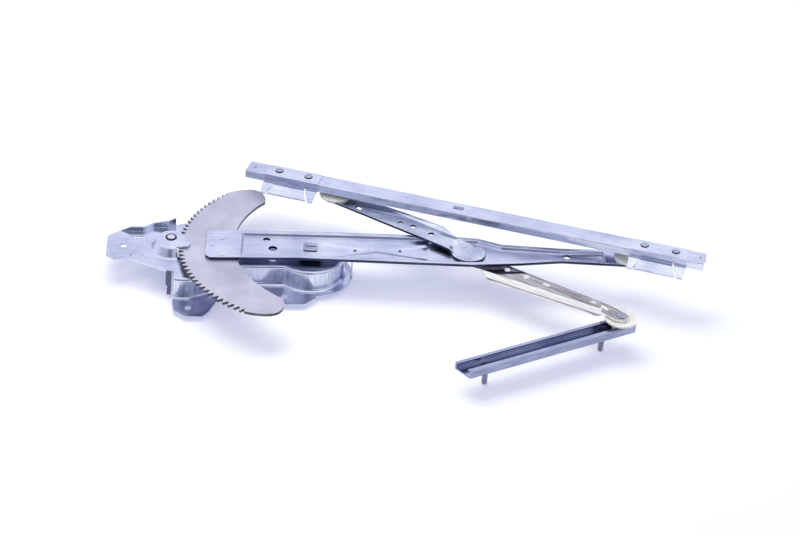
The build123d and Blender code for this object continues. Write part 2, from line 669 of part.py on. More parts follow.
# ------------------------------------------------------------------ rollers, drawn upright on z = 0
def roller_profile(neck):
    """Half section: hub, dished disc, neck through the rail's lips, head inside the rail."""
    bore = roller_pin_radius + running_gap
    disc_top = roller_disc_height
    head_bottom = disc_top + neck + rail_sheet + roller_lip_gap
    head_top = head_bottom + roller_head
    button_radius = roller_pin_button_radius + button_gap
    rim = roller_disc_radius - roller_rim_width
    return make_face(Polyline(
        (bore, 0, 0), (roller_hub_radius, 0, 0), (roller_hub_radius, 0, roller_hub), (rim, 0, roller_hub),
        (rim + 0.5, 0, roller_hub - roller_rim / 2), (roller_disc_radius, 0, roller_hub - roller_rim / 2),
        (roller_disc_radius, 0, disc_top - 0.5), (roller_disc_radius - 0.5, 0, disc_top),
        (roller_neck_radius + 1.0, 0, disc_top), (roller_neck_radius, 0, disc_top + 1.0),
        (roller_neck_radius, 0, head_bottom), (roller_head_radius, 0, head_bottom),
        (roller_head_radius, 0, head_top - 0.8), (roller_head_radius - 0.8, 0, head_top),
        (button_radius, 0, head_top), (button_radius, 0, head_top - roller_pin_button),
        (bore, 0, head_top - roller_pin_button), close=True))


def roller_height(neck):
    return roller_disc_height + neck + rail_sheet + roller_lip_gap + roller_head


def make_roller(neck):
    return revolve(roller_profile(neck), axis=Axis.Z)


def flush_head(bottom):
    """Countersunk end of a rivet, level with the underside of its sheet."""
    return Pos(0, 0, bottom) * Cone(flush_head_radius, roller_pin_radius, flush_head_depth,
                                    align=(Align.CENTER, Align.CENTER, Align.MIN))


def domed_head(bottom, head):
    """Domed end of a rivet, below its sheet."""
    dome = cylinder(roller_pin_head_radius, bottom - head, bottom)
    return chamfer(dome.edges().group_by(Axis.Z)[0], head * 0.6)


def make_roller_pin(neck, sheet, end):
    """Rivet through an arm and its roller, with a button in the roller's counterbore."""
    top = roller_height(neck)
    shank = cylinder(roller_pin_radius, -sheet, top)
    button = cylinder(roller_pin_button_radius, top - roller_pin_button, top)
    return shank + button + end


right_neck = lift_rail_bottom - arm_top - roller_disc_height
left_neck = lift_rail_bottom - upper_web_top - roller_disc_height
guide_neck = guide_web_bottom - guide_rail_top - roller_disc_height


# ------------------------------------------------------------------ rails, drawn along +X with the mouth down
def rail_section(start, end):
    half = rail_width / 2
    outer = outline([(-half, 0), (half, 0), (half, rail_height), (-half, rail_height)])
    corners = outer.vertices()
    outer = fillet(corners, rail_bend)
    inner = fillet(outline([(-half + rail_sheet, rail_sheet), (half - rail_sheet, rail_sheet),
                            (half - rail_sheet, rail_height - rail_sheet),
                            (-half + rail_sheet, rail_height - rail_sheet)]).vertices(), rail_bend / 2)
    mouth = Pos(0, rail_sheet / 2 - 0.5) * Rectangle(rail_width - 2 * rail_sheet - 2 * rail_lip, rail_sheet + 2.0)
    section = outer - inner - mouth
    beam = extrude(Plane.YZ * section, amount=end - start)
    return Pos(start, 0, 0) * beam


def rivet_places(start):
    return [start + bracket_rivet_inset, start + bracket_rivet_inset + bracket_rivet_spacing]


def make_lift_rail():
    rail = rail_section(-lift_rail_left, lift_rail_right)
    slot = Pos(rail_slot_at, 0) * Rectangle(rail_slot_length, rail_slot_width)
    rail -= slab(slot, rail_height - rail_sheet - 1, rail_height + 1)
    for x in (-lift_rail_left + rail_left_pilot, lift_rail_right - rail_right_pilot):
        rail -= cylinder(rail_pilot_radius, rail_height - rail_sheet - 1, rail_height + 1, (x, 0))
    for start in (left_bracket_at, right_bracket_at):
        for x in rivet_places(start):
            rail -= cylinder(bracket_rivet_radius, rail_height - rail_sheet - 1, rail_height + 1, (x, 0))
    return place(Pos(0, 0, lift_rail_bottom) * rail, left_roller_point, lift_rail_angle)


def stud_places():
    return (-guide_rail_left + stud_inset_left, guide_rail_right - stud_inset_right)


def make_guide_rail():
    rail = rail_section(-guide_rail_left, guide_rail_right)
    rail = Rot(180, 0, 0) * rail
    half = rail_width / 2
    skew = outline([(-guide_rail_left - 1, -half - 1), (-guide_rail_left + guide_rail_skew, -half - 1),
                    (-guide_rail_left, half + 1), (-guide_rail_left - 1, half + 1)])
    rail -= slab(skew, -rail_height - 1, 1)
    for x in stud_places():
        rail -= cylinder(stud_radius + stud_neck + stud_hole_gap, -rail_height - 1,
                         -rail_height + rail_sheet + 1, (x, 0))
    return place(Pos(0, 0, guide_rail_top) * rail, guide_roller_point, guide_rail_angle)


def make_guide_studs():
    studs = []
    floor = guide_rail_bottom + rail_sheet
    for x in stud_places():
        shank = cylinder(stud_radius, guide_rail_bottom - stud_length, guide_rail_bottom, (x, 0))
        shank = chamfer(shank.edges().group_by(Axis.Z)[0], stud_radius / 4)
        neck = cylinder(stud_radius + stud_neck, guide_rail_bottom, floor, (x, 0))
        head = cylinder(stud_head_radius, floor, floor + stud_head, (x, 0))
        studs.append(place(shank + neck + head, guide_roller_point, guide_rail_angle))
    return sum(studs[1:], studs[0])


# ------------------------------------------------------------------ glass brackets, in the lift rail's line
def bracket_section(shelf, run, drop):
    """Folded sheet over the rail: crown, side wall, shelf and apron."""
    half = rail_width / 2
    t = bracket_sheet
    crown = rail_height
    return [(half - 2.0, crown), (half - 2.0, crown + t), (-half - t, crown + t), (-half - t, 1.0 + t),
            (-half - t - shelf, 1.0 + t), (-half - t - shelf - run, 1.0 + t - drop),
            (-half - t - shelf - run, 1.0 - drop), (-half - t - shelf + t / 2, 1.0), (-half, 1.0), (-half, crown)]


def make_glass_bracket(start):
    """Sheet over the rail with three tongues: a narrow ear at each end and a wide panel set back between them."""
    end = start + bracket_length
    wall = -rail_width / 2 - bracket_sheet
    fold = wall - bracket_ear_shelf
    tip = fold - max(bracket_run, bracket_ear_run) - 1
    ear = cross_profile(bracket_section(bracket_ear_shelf, bracket_ear_run, bracket_drop), start, end)
    panel = cross_profile(bracket_section(bracket_shelf, bracket_run, bracket_drop), start, end)

    # plan of the tongues: the ears narrow towards their tips, and the panel fills what they leave
    left, right = start + bracket_ear, end - bracket_ear
    panel_plan = outline([(left, 0), (left, fold), (start + bracket_ear_tip + bracket_slit, tip),
                          (right + bracket_lean - bracket_slit, tip), (right - bracket_slit, fold),
                          (right - bracket_slit, 0)])
    left_plan = outline([(start, 0), (start, tip), (start + bracket_ear_tip, tip), (left, fold), (left, 0)])
    right_plan = outline([(right, 0), (right, fold), (right + bracket_lean, tip), (end - bracket_ear_taper, tip),
                          (end, fold), (end, 0)])
    top = rail_height + bracket_sheet
    bracket = ear & slab(left_plan + right_plan, tip, top)
    bracket += panel & slab(panel_plan, tip, top)
    crown = outline([(start, wall + bracket_sheet), (start, -wall), (end, -wall), (end, wall + bracket_sheet)])
    bracket += ear & slab(crown, rail_height, top)
    web = outline([(start, wall), (start, 0), (end, 0), (end, wall)])
    bracket += ear & slab(web, rail_height - bracket_web, top)
    for x in rivet_places(start):
        bracket -= cylinder(bracket_rivet_radius, 0, rail_height + 5, (x, 0))
    return place(Pos(0, 0, lift_rail_bottom) * bracket, left_roller_point, lift_rail_angle)


def make_bracket_rivets(start):
    rivets = []
    inside = rail_height - rail_sheet
    outside = rail_height + bracket_sheet
    for x in rivet_places(start):
        shank = cylinder(bracket_rivet_radius, inside - 0.8, outside, (x, 0))
        head = cylinder(bracket_rivet_head_radius, outside, outside + bracket_rivet_head, (x, 0))
        head = chamfer(head.edges().group_by(Axis.Z)[-1], bracket_rivet_head / 2)
        foot = cylinder(bracket_rivet_radius + 1.0, inside - 0.8, inside, (x, 0))
        rivet = Pos(0, 0, lift_rail_bottom) * (shank + head + foot)
        rivets.append(place(rivet, left_roller_point, lift_rail_angle))
    return sum(rivets[1:], rivets[0])


# ------------------------------------------------------------------ the assembly
def all_parts():
    flip = Rot(180, 0, 0)
    return {
        "base_plate": make_base_plate(),
        "pivot_bush": make_pivot_bush(),
        "pivot_pin": make_pivot_pin(),
        "pivot_clip": make_pivot_clip(),
        "pinion_bush": make_pinion_bush(),
        "drive_pinion": make_drive_pinion(),
        "sector_gear": make_sector_gear(),
        "lift_arm": make_lift_arm(),
        "upper_equalizer_arm": make_upper_equalizer_arm(),
        "lower_equalizer_arm": make_lower_equalizer_arm(),
        "centre_pin": make_centre_pin(),
        "centre_washer_upper": make_centre_washer(arm_trough_top, upper_pad_bottom),
        "centre_washer_lower": make_centre_washer(guide_web_top, arm_bottom),
        "right_roller": place(Pos(0, 0, arm_top) * make_roller(right_neck), right_roller_point, 0),
        "right_roller_pin": place(Pos(0, 0, arm_top)
                                  * make_roller_pin(right_neck, arm_sheet, domed_head(-arm_sheet, roller_pin_head)),
                                  right_roller_point, 0),
        "left_roller": place(Pos(0, 0, upper_web_top) * make_roller(left_neck), left_roller_point, 0),
        "left_roller_pin": place(Pos(0, 0, upper_web_top)
                                 * make_roller_pin(left_neck, equalizer_sheet, flush_head(-equalizer_sheet)),
                                 left_roller_point, 0),
        "guide_roller": place(Pos(0, 0, guide_web_bottom) * flip * make_roller(guide_neck),
                              guide_roller_point, 0),
        "guide_roller_pin": place(Pos(0, 0, guide_web_bottom) * flip
                                  * make_roller_pin(guide_neck, equalizer_sheet,
                                                    domed_head(-equalizer_sheet, guide_pin_head)),
                                  guide_roller_point, 0),
        "lift_rail": make_lift_rail(),
        "left_glass_bracket": make_glass_bracket(left_bracket_at),
        "right_glass_bracket": make_glass_bracket(right_bracket_at),
        "left_bracket_rivets": make_bracket_rivets(left_bracket_at),
        "right_bracket_rivets": make_bracket_rivets(right_bracket_at),
        "guide_rail": make_guide_rail(),
        "guide_rail_studs": make_guide_studs(),
    }


os.makedirs("parts", exist_ok=True)
datum = Pos(-foot_hole[0], -foot_hole[1], 0)
for name, part in all_parts().items():
    export_step(datum * part, f"parts/{name}.step")
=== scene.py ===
import bmesh
import bpy
import json
import math
from mathutils import Matrix, Vector


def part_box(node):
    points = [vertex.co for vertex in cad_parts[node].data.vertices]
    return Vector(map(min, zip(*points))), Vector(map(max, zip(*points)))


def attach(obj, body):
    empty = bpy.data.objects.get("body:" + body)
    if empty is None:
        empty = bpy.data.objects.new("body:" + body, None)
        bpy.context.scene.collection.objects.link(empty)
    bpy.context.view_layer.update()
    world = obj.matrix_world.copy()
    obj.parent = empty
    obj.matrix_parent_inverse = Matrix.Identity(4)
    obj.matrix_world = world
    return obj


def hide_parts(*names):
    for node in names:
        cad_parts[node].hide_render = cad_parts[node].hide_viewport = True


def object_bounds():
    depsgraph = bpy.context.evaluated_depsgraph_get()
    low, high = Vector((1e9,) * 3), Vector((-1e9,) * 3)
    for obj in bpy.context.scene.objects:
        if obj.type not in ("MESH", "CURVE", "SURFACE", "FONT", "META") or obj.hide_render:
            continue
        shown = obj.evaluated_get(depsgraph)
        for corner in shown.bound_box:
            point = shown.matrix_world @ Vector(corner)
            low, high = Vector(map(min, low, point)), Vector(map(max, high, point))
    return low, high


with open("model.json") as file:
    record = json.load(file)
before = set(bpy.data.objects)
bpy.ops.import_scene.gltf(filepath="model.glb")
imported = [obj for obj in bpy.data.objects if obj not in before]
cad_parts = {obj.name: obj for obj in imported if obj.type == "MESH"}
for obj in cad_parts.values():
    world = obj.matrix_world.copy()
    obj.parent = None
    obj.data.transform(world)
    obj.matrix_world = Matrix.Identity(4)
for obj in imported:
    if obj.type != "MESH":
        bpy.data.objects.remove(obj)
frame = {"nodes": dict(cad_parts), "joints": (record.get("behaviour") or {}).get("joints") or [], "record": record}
cad_box = [list(corner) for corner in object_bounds()]
nodes = frame["nodes"]
joint_place = {joint["name"]: joint.get("pos_m") for joint in frame["joints"]}
mount = {mount["name"]: mount for mount in frame["record"]["mounts"]}
body_of = {node: body for body, members in frame["record"]["behaviour"]["bodies"].items() for node in members}
mm = 0.001

# ------------------------------------------------------------------ how the pieces lie at rest, in degrees
lift_arm_turn = 2.0
equalizer_turn = -32.4
lift_rail_turn = -15.2
guide_rail_turn = 29.3

# ------------------------------------------------------------------ camera, in metres and degrees
camera_place = Vector((0.1704, -1.7270, 1.2204))
camera_heading = -1.4
camera_depression = 33.73
camera_roll = 4.14
camera_lens = 93.24
camera_sensor = 36.0

# ------------------------------------------------------------------ the forms made here, in millimetres
weld = 0.002 * mm
smooth_below = 32.0         # degrees: sharper edges than this stay sharp
flange_full = 42.0          # from the centre pivot, the upper arm's flange is whole beyond this
flange_margin = 1.0
flange_fold = 12.4          # from the arm's middle line to the flange's fold
flange_end_share = 0.25     # how much of the flange's height and width is left at its near end
stud_mounts = ("left_stud", "right_stud")
thread_pitch = 1.0
thread_depth = 0.42
thread_turns = 15.0
thread_height = 17.5
thread_steps = 20           # points in one turn
ridge_sides = 4

# ------------------------------------------------------------------ patterns
# Each is the size of its features in millimetres, its steps of finer detail, and how strong that detail is.
cloud_pattern = (38.0, 4.0, 0.55)
rolled_pattern = (1.6, 5.0, 0.6)
drawn_pattern = (1.3, 4.0, 0.65)
speck_pattern = (0.9, 2.0, 0.5)
swell_pattern = (45.0, 1.0, 0.5)
nylon_cloud_pattern = (6.0, 3.0, 0.5)
nylon_grain_pattern = (0.8, 2.0, 0.5)

# ------------------------------------------------------------------ sheet steel
rolling_stretch = 16.0      # how much longer than wide its lines are
wave_height = 0.6           # millimetres
relief_height = 0.03        # millimetres
relief_strength = 0.35
speck_share = 0.5
fold_samples = 6
flat_stops = (0.34, 0.50, 0.66)
wall_stops = (0.36, 0.64)
slope_blend = 0.24
gloss_from = 0.3
gloss_to = 0.7
duller_by = 0.06
glossier_by = 0.05

# Tones of a flat face are dark, middle and light, and those of a wall or sheared edge are dark and light.
# Partly real and partly painted: bare sheared steel is darker, and these near-black navy tones also paint the
# shade and dark reflection along the arms' edges.
sheared_edge_and_shade = ("#2C3046", "#4A5068")
zinc = dict(flat=("#AFB5D0", "#CACEE3", "#DDE0EF"), rough=0.22)
finishes = {
    "zinc_plated_arm": dict(zinc, turn=lift_arm_turn, wall=sheared_edge_and_shade, bend=1.3),
    "zinc_plated_base": dict(zinc, turn=0.0, wall=("#BCC3DA", "#DDE2F0"), bend=1.0, drawn_down=True),
    "zinc_plated_equalizer": dict(turn=equalizer_turn, flat=("#A0A9C5", "#C8CEDF", "#E4E8F2"),
                                  wall=sheared_edge_and_shade, rough=0.2, bend=1.0),
    # Its walls take lighter tones than its top faces: a painted highlight on the rail's front wall.
    "zinc_plated_lift_rail": dict(zinc, turn=lift_rail_turn, wall=("#CDD2E4", "#E6E9F4"), bend=0.6),
    # Darker zinc than the other plated parts: painted shade, for the shade the low rail lies in and the dark it
    # mirrors.
    "zinc_plated_guide_rail": dict(turn=guide_rail_turn, flat=("#8A90B0", "#A3A9C6", "#B9BED6"),
                                   wall=("#8389A8", "#A6ACC6"), rough=0.2),
    # Painted light on the lower equalizer arm: its darkest flat tones are partly painted shade from the parts over
    # it, and the near-white wall tones that its sloped flange takes are a painted highlight.
    "rolled_steel_shade_and_lit_flange": dict(turn=equalizer_turn, flat=("#5C585F", "#A8A2A4", "#DAD4D2"),
                               wall=("#E6E2DE", "#FFFFFF"), rough=0.14, lines=0.75, bend=1.0, steep=0.9),
    "ground_sector_steel": dict(turn=0.0, flat=("#BCBBCB", "#C8C7D6", "#D3D2E0"),
                                wall=("#4A4444", "#77727A"), rough=0.5, lines=0.1, bend=0.3),
    "bright_zinc": dict(turn=lift_rail_turn, flat=("#B7BDD8", "#D2D6E8", "#E4E7F4"),
                        wall=("#B0B6CF", "#DDE1EF"), rough=0.2, bend=0.8),
    "turned_steel": dict(turn=0.0, flat=("#777A8E", "#9A9CAC", "#B9BAC4"),
                         wall=("#6E7084", "#A6A8B6"), rough=0.28),
    "pinion_steel": dict(turn=0.0, flat=("#B9BBC9", "#D2D4DF", "#E6E8F0"), wall=sheared_edge_and_shade, rough=0.3),
    # The near-black wall tones, taken by all but the very top of each rivet head, are painted shade round the
    # domes.
    "riveted_steel": dict(turn=0.0, flat=("#7C8098", "#A4A8BE", "#C6C9D8"),
                          wall=("#15182A", "#2C3046"), rough=0.2, steep=0.99),
    "sintered_bush": dict(turn=0.0, flat=("#2A2832", "#3F3C48", "#5A5662"), wall=sheared_edge_and_shade, rough=0.5),
}
finished_in = {
    "zinc_plated_arm": ["lift_arm"],
    "zinc_plated_base": ["base_plate"],
    "zinc_plated_equalizer": ["centre_pin"],
    "zinc_plated_lift_rail": ["lift_rail"],
    "zinc_plated_guide_rail": ["guide_rail"],
    "rolled_steel_shade_and_lit_flange": ["lower_equalizer_arm"],
    "ground_sector_steel": ["sector_gear"],
    "bright_zinc": ["left_glass_bracket", "right_glass_bracket"],
    "turned_steel": ["pivot_clip", "centre_washer_upper", "centre_washer_lower", "right_roller_pin",
                     "left_roller_pin", "guide_roller_pin"],
    "pinion_steel": ["drive_pinion"],
    "riveted_steel": ["pivot_pin", "left_bracket_rivets", "right_bracket_rivets"],
    "sintered_bush": ["pivot_bush", "pinion_bush"],
}

# ------------------------------------------------------------------ nylon
nylon_tones = ("#E6E2D8", "#F6F4EE")
nylon_stops = (0.35, 0.6)
nylon_roughness = 0.38
nylon_ior = 1.53
nylon_scatter = 0.15
nylon_reach = (0.004, 0.003, 0.002)     # metres that red, green and blue light go in
nylon_grain_strength = 0.2

# ------------------------------------------------------------------ studio
floor_gap = 0.2 * mm        # between the floor and the part
floor_side = 6.0            # metres from the floor's middle to its sides
floor_tone = "#E8E7D2"
floor_roughness = 0.9
shadow_tint = "#8D8FB3"     # added to the floor, so that a shadow isn't darker than this
bounce_tone = "#E6E6EA"     # of the floor, for light that isn't mirrored in metal
backdrop_tone = "#FFFFFF"
room_tone = "#E6EAF6"
room_strength = 0.75
# From the far floor (0) over the top (0.5) to the near floor (1).
tent_stops = ((0.0, "#FFFFFF"), (0.11, "#F6F7FC"), (0.17, "#DDE0EE"), (0.25, "#E4E6F2"), (0.32, "#F4F6FC"),
              (0.45, "#F4F6FC"), (0.48, "#CDD2E4"), (0.52, "#CDD2E4"), (0.55, "#FFFFFF"), (0.60, "#FFFFFF"),
              (0.72, "#C8CBDA"), (1.0, "#8E92A6"))
tent_strength = 1.3
open_end_height = 18.0      # degrees above the near horizon
open_end_soft = 25.0        # degrees from its middle to where the tent is white again
open_end_dark = 10.0        # degrees from its middle to where it starts to lighten
open_end_tone = "#20263C"
lamp_place = Vector((-0.15, 0.75, 1.4))
lamp_target = Vector((0.2, 0.0, 0.0))
lamp_size = (1.5, 0.8)
lamp_power = 16.0


# ------------------------------------------------------------------ helpers
def linear(hexa):
    """sRGB hex value to a linear colour."""
    parts = [int(hexa[i:i + 2], 16) / 255 for i in (1, 3, 5)]
    return tuple(c / 12.92 if c <= 0.04045 else ((c + 0.055) / 1.055) ** 2.4 for c in parts) + (1.0,)


def put(tree, kind, fed=None, stops=(), **settings):
    """Adds a node. Settings are the node's own properties or the values of its inputs, with _ for a space.
    Fed is {input: the socket or value that feeds it}, and stops are the (position, tone) pairs of a colour
    ramp."""
    made = tree.nodes.new(kind)
    for name, value in settings.items():
        if hasattr(made, name):
            setattr(made, name, value)
        else:
            made.inputs[name.replace("_", " ")].default_value = value
    for name, source in (fed or {}).items():
        if isinstance(source, bpy.types.NodeSocket):
            tree.links.new(source, made.inputs[name])
        else:
            made.inputs[name].default_value = source
    for index, (position, tone) in enumerate(stops):
        elements = made.color_ramp.elements
        element = elements[index] if index < len(elements) else elements.new(position)
        element.position = position
        element.color = linear(tone)
    return made


def noise(tree, place, size_mm, detail, roughness):
    """Noise whose features are about this many millimetres across."""
    return put(tree, "ShaderNodeTexNoise", {"Vector": place}, Scale=1.0 / (size_mm * mm), Detail=detail,
               Roughness=roughness).outputs["Fac"]


def either(tree, one, other):
    """1 where any of the two values is 1."""
    return put(tree, "ShaderNodeMath", {0: one, 1: other}, operation="MAXIMUM").outputs[0]


def new_material(name):
    material = bpy.data.materials.new(name)
    material.use_nodes = True
    tree = material.node_tree
    return material, tree, tree.nodes["Principled BSDF"]


def link(thing):
    bpy.context.scene.collection.objects.link(thing)


# ------------------------------------------------------------------ finishes
def plated_sheet(name, turn, flat, wall, rough, lines=0.35, bend=0.5, steep=0.42, drawn_down=False):
    """Cold-rolled steel sheet, mostly zinc plated and passivated: a pale metal with a blue cast. Its tone
    clouds over a few centimetres, fine rolling lines run along the sheet, and its surface waves a little, as
    pressed sheet does. Walls and sheared edges have their own tones, with fine lines down a drawn wall, and
    no fold is quite sharp. Where a finish gives its walls far darker tones than its flat faces, they paint
    shade, and where far lighter, a highlight."""
    material, tree, shader = new_material(name)
    place = put(tree, "ShaderNodeTexCoord").outputs["Object"]
    along = put(tree, "ShaderNodeMapping", {"Vector": place}, vector_type="TEXTURE",
                Rotation=(0, 0, math.radians(turn)), Scale=(rolling_stretch, 1, 1)).outputs["Vector"]
    down = put(tree, "ShaderNodeMapping", {"Vector": place}, vector_type="TEXTURE",
               Scale=(1, 1, rolling_stretch)).outputs["Vector"]
    clouds = noise(tree, place, *cloud_pattern)
    rolled = noise(tree, along, *rolled_pattern)
    drawn = noise(tree, down, *drawn_pattern)
    specks = noise(tree, place, *speck_pattern)
    swell = noise(tree, place, *swell_pattern)

    tone = put(tree, "ShaderNodeMix", {"A": clouds, "B": rolled}, data_type="FLOAT",
               Factor=lines).outputs["Result"]
    flat_tone = put(tree, "ShaderNodeValToRGB", {"Fac": tone}, stops=zip(flat_stops, flat))
    wall_tone = put(tree, "ShaderNodeValToRGB", {"Fac": drawn if drawn_down else rolled},
                    stops=zip(wall_stops, wall))
    normal = put(tree, "ShaderNodeNewGeometry").outputs["Normal"]
    facing = put(tree, "ShaderNodeSeparateXYZ", {"Vector": normal})
    height = put(tree, "ShaderNodeMath", {0: facing.outputs["Z"]}, operation="ABSOLUTE")
    level = put(tree, "ShaderNodeMapRange", {"Value": height.outputs[0]},
                From_Min=steep - slope_blend, From_Max=steep)
    # Steep faces take the wall tones and flat faces the flat ones: with some finishes this paints shade on the
    # steep faces, and with the lower arm's a highlight.
    colour = put(tree, "ShaderNodeMix", {"Factor": level.outputs["Result"], "A": wall_tone.outputs["Color"],
                                         "B": flat_tone.outputs["Color"]}, data_type="RGBA")
    tree.links.new(colour.outputs["Result"], shader.inputs["Base Color"])
    shader.inputs["Metallic"].default_value = 1.0
    gloss = put(tree, "ShaderNodeMapRange", {"Value": tone}, From_Min=gloss_from, From_Max=gloss_to,
                To_Min=rough + duller_by, To_Max=rough - glossier_by)
    tree.links.new(gloss.outputs["Result"], shader.inputs["Roughness"])

    folds = put(tree, "ShaderNodeBevel", samples=fold_samples, Radius=bend * mm)
    waves = put(tree, "ShaderNodeBump", {"Height": swell, "Normal": folds.outputs["Normal"]},
                Strength=1.0, Distance=wave_height * mm)
    relief = put(tree, "ShaderNodeMix", {"A": rolled, "B": specks}, data_type="FLOAT", Factor=speck_share)
    bumps = put(tree, "ShaderNodeBump", {"Height": relief.outputs["Result"],
                                         "Normal": waves.outputs["Normal"]},
                Strength=relief_strength, Distance=relief_height * mm)
    tree.links.new(bumps.outputs["Normal"], shader.inputs["Normal"])
    return material


def moulded_nylon():
    """Moulded natural polyamide: a creamy white, slightly waxy plastic that light enters a little."""
    material, tree, shader = new_material("moulded_nylon")
    place = put(tree, "ShaderNodeTexCoord").outputs["Object"]
    clouds = noise(tree, place, *nylon_cloud_pattern)
    colour = put(tree, "ShaderNodeValToRGB", {"Fac": clouds}, stops=zip(nylon_stops, nylon_tones))
    tree.links.new(colour.outputs["Color"], shader.inputs["Base Color"])
    shader.inputs["Roughness"].default_value = nylon_roughness
    shader.inputs["IOR"].default_value = nylon_ior
    shader.inputs["Subsurface Weight"].default_value = nylon_scatter
    shader.inputs["Subsurface Radius"].default_value = nylon_reach
    grain = noise(tree, place, *nylon_grain_pattern)
    bumps = put(tree, "ShaderNodeBump", {"Height": grain}, Strength=nylon_grain_strength,
                Distance=relief_height * mm)
    tree.links.new(bumps.outputs["Normal"], shader.inputs["Normal"])
    return material


# ------------------------------------------------------------------ studio
def make_camera():
    turn = Matrix.Rotation(math.radians(camera_heading), 4, "Z")
    tilt = Matrix.Rotation(math.radians(90 - camera_depression), 4, "X")
    roll = Matrix.Rotation(math.radians(camera_roll), 4, "Z")
    camera = bpy.data.objects.new("camera", bpy.data.cameras.new("camera"))
    camera.data.lens = camera_lens
    camera.data.sensor_width = camera_sensor
    camera.matrix_world = Matrix.Translation(camera_place) @ turn @ tilt @ roll
    link(camera)
    bpy.context.scene.camera = camera


def floor_material():
    """The camera and the metal see plain white with the part's shadow on it, other light a soft grey."""
    material, tree, shader = new_material("white_floor")
    shader.inputs["Base Color"].default_value = linear(floor_tone)
    shader.inputs["Roughness"].default_value = floor_roughness
    shader.inputs["Specular IOR Level"].default_value = 0.0
    lift = put(tree, "ShaderNodeEmission", Color=linear(shadow_tint), Strength=1.0)
    shown = put(tree, "ShaderNodeAddShader", {0: shader.outputs[0], 1: lift.outputs[0]})
    bounce = put(tree, "ShaderNodeBsdfDiffuse", Color=linear(bounce_tone))
    path = put(tree, "ShaderNodeLightPath").outputs
    seen = either(tree, path["Is Camera Ray"], path["Is Glossy Ray"])
    clear = either(tree, seen, path["Is Transmission Ray"])
    chosen = put(tree, "ShaderNodeMixShader", {"Fac": clear, 1: bounce.outputs[0], 2: shown.outputs[0]})
    tree.links.new(chosen.outputs[0], tree.nodes["Material Output"].inputs["Surface"])
    return material


def make_floor():
    """Large white floor, on which the part stands at rest with its two studs and the far edge of its base
    plate. It tilts a little, down from the base plate to the studs' ends."""
    left, right = [Vector(mount[name]["pos_m"][:2]) for name in stud_mounts]
    across = (right - left).orthogonal().normalized()
    feet = [Vector(corner.co[:2]) for corner in nodes["base_plate"].data.vertices if corner.co.z < floor_gap]
    furthest = max((foot - left).dot(across) for foot in feet)
    low = cad_box[0][2]
    corners = []
    for side in ((-1, -1), (1, -1), (1, 1), (-1, 1)):
        spot = floor_side * Vector(side)
        corners.append((*spot, low - low * (spot - left).dot(across) / furthest - floor_gap))
    mesh = bpy.data.meshes.new("floor")
    mesh.from_pydata(corners, [], [(0, 1, 2, 3)])
    mesh.materials.append(floor_material())
    floor = bpy.data.objects.new("floor", mesh)
    link(floor)


def make_world():
    """White studio tent. Bright metal sees its bands from the far floor over the top to the near side, and a
    dim end where the tent is open."""
    world = bpy.data.worlds.new("studio")
    bpy.context.scene.world = world
    world.use_nodes = True
    tree = world.node_tree
    tree.nodes.clear()
    path = put(tree, "ShaderNodeLightPath").outputs
    heading = put(tree, "ShaderNodeTexCoord").outputs["Generated"]
    axes = put(tree, "ShaderNodeSeparateXYZ", {"Vector": heading}).outputs
    over = put(tree, "ShaderNodeMath", {0: axes["Z"], 1: axes["Y"]}, operation="ARCTAN2")
    share = put(tree, "ShaderNodeMath", {0: over.outputs[0], 1: math.pi}, operation="DIVIDE")
    tent = put(tree, "ShaderNodeValToRGB", {"Fac": share.outputs[0]}, stops=tent_stops)
    height = math.radians(open_end_height)
    open_end = put(tree, "ShaderNodeVectorMath", {0: heading, 1: (0.0, -math.cos(height), math.sin(height))},
                   operation="DOT_PRODUCT")
    dimmed = put(tree, "ShaderNodeMapRange", {"Value": open_end.outputs["Value"]},
                 interpolation_type="SMOOTHSTEP", From_Min=math.cos(math.radians(open_end_soft)),
                 From_Max=math.cos(math.radians(open_end_dark)))
    around = put(tree, "ShaderNodeMix", {"Factor": dimmed.outputs["Result"], "A": tent.outputs["Color"],
                                         "B": linear(open_end_tone)}, data_type="RGBA")
    mirrored = put(tree, "ShaderNodeBackground", {"Color": around.outputs["Result"]}, Strength=tent_strength)
    backdrop = put(tree, "ShaderNodeBackground", Color=linear(backdrop_tone), Strength=1.0)
    room = put(tree, "ShaderNodeBackground", Color=linear(room_tone), Strength=room_strength)
    lighting = put(tree, "ShaderNodeMixShader", {"Fac": path["Is Glossy Ray"], 1: room.outputs[0],
                                                 2: mirrored.outputs[0]})
    clear = either(tree, path["Is Camera Ray"], path["Is Transmission Ray"])
    whole = put(tree, "ShaderNodeMixShader", {"Fac": clear, 1: lighting.outputs[0], 2: backdrop.outputs[0]})
    put(tree, "ShaderNodeOutputWorld", {"Surface": whole.outputs[0]})


def make_lamp():
    """Soft light over the tent. The metal doesn't mirror it."""
    lamp = bpy.data.objects.new("top_light", bpy.data.lights.new("top_light", "AREA"))
    lamp.data.shape = "RECTANGLE"
    lamp.data.size, lamp.data.size_y = lamp_size
    lamp.data.energy = lamp_power
    lamp.location = lamp_place
    lamp.rotation_mode = "QUATERNION"
    lamp.rotation_quaternion = (lamp_target - lamp_place).to_track_quat("-Z", "Y")
    lamp.visible_glossy = False
    link(lamp)


# ------------------------------------------------------------------ the part
def dress(node_names, material):
    for name in node_names:
        mesh = nodes[name].data
        mesh.materials.clear()
        mesh.materials.append(material)


def keep(piece, node):
    """The piece stands for that CAD part: it moves with its body and has its finish."""
    link(piece)
    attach(piece, body_of[node])
    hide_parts(node)


def welded(mesh):
    """The mesh opened for work, with its seams closed."""
    work = bmesh.new()
    work.from_mesh(mesh)
    bmesh.ops.remove_doubles(work, verts=work.verts, dist=weld)
    return work


def smooth(work):
    """Smooth shading, but not over the sharp edges."""
    for line in work.edges:
        line.smooth = line.calc_face_angle(0.0) < math.radians(smooth_below)
    for face in work.faces:
        face.smooth = True


def close(work, mesh):
    work.to_mesh(mesh)
    work.free()


